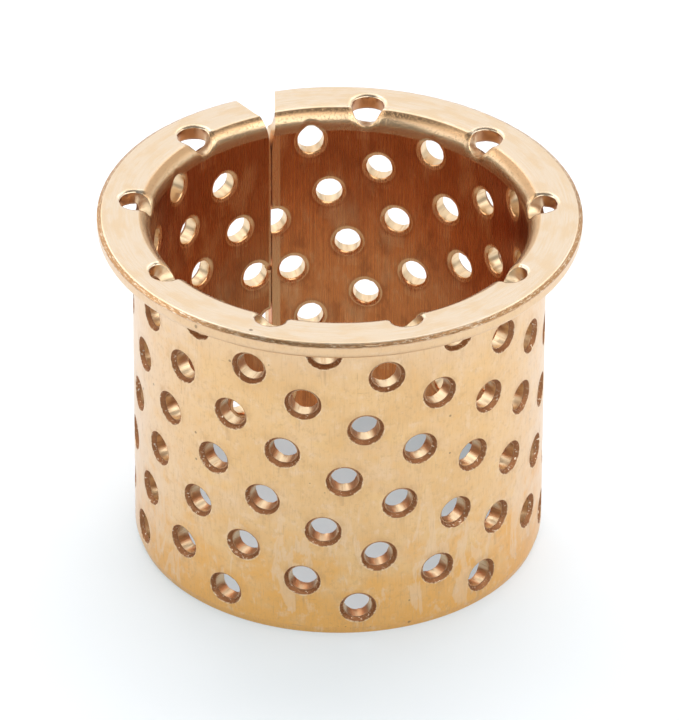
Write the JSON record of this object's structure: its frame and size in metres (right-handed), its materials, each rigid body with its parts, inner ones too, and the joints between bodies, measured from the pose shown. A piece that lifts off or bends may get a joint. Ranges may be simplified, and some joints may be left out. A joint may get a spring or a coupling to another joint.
{
  "type": "perforated flanged bushing",
  "caption": "Flanged plain bushing rolled from a punched bronze strip, with staggered round grease holes through the wall and a V notch at the seam.",
  "frame": {"origin": "on the bore's axis, in the plane of the plain end", "axes": "+Z along the bore from the plain end to the flange, +Y towards the seam"},
  "size_m": [0.0644, 0.0643, 0.049],
  "materials": {
    "bronze": "satin"
  },
  "bodies": {
    "root": {"bushing": "bronze"}
  },
  "joints": []
}
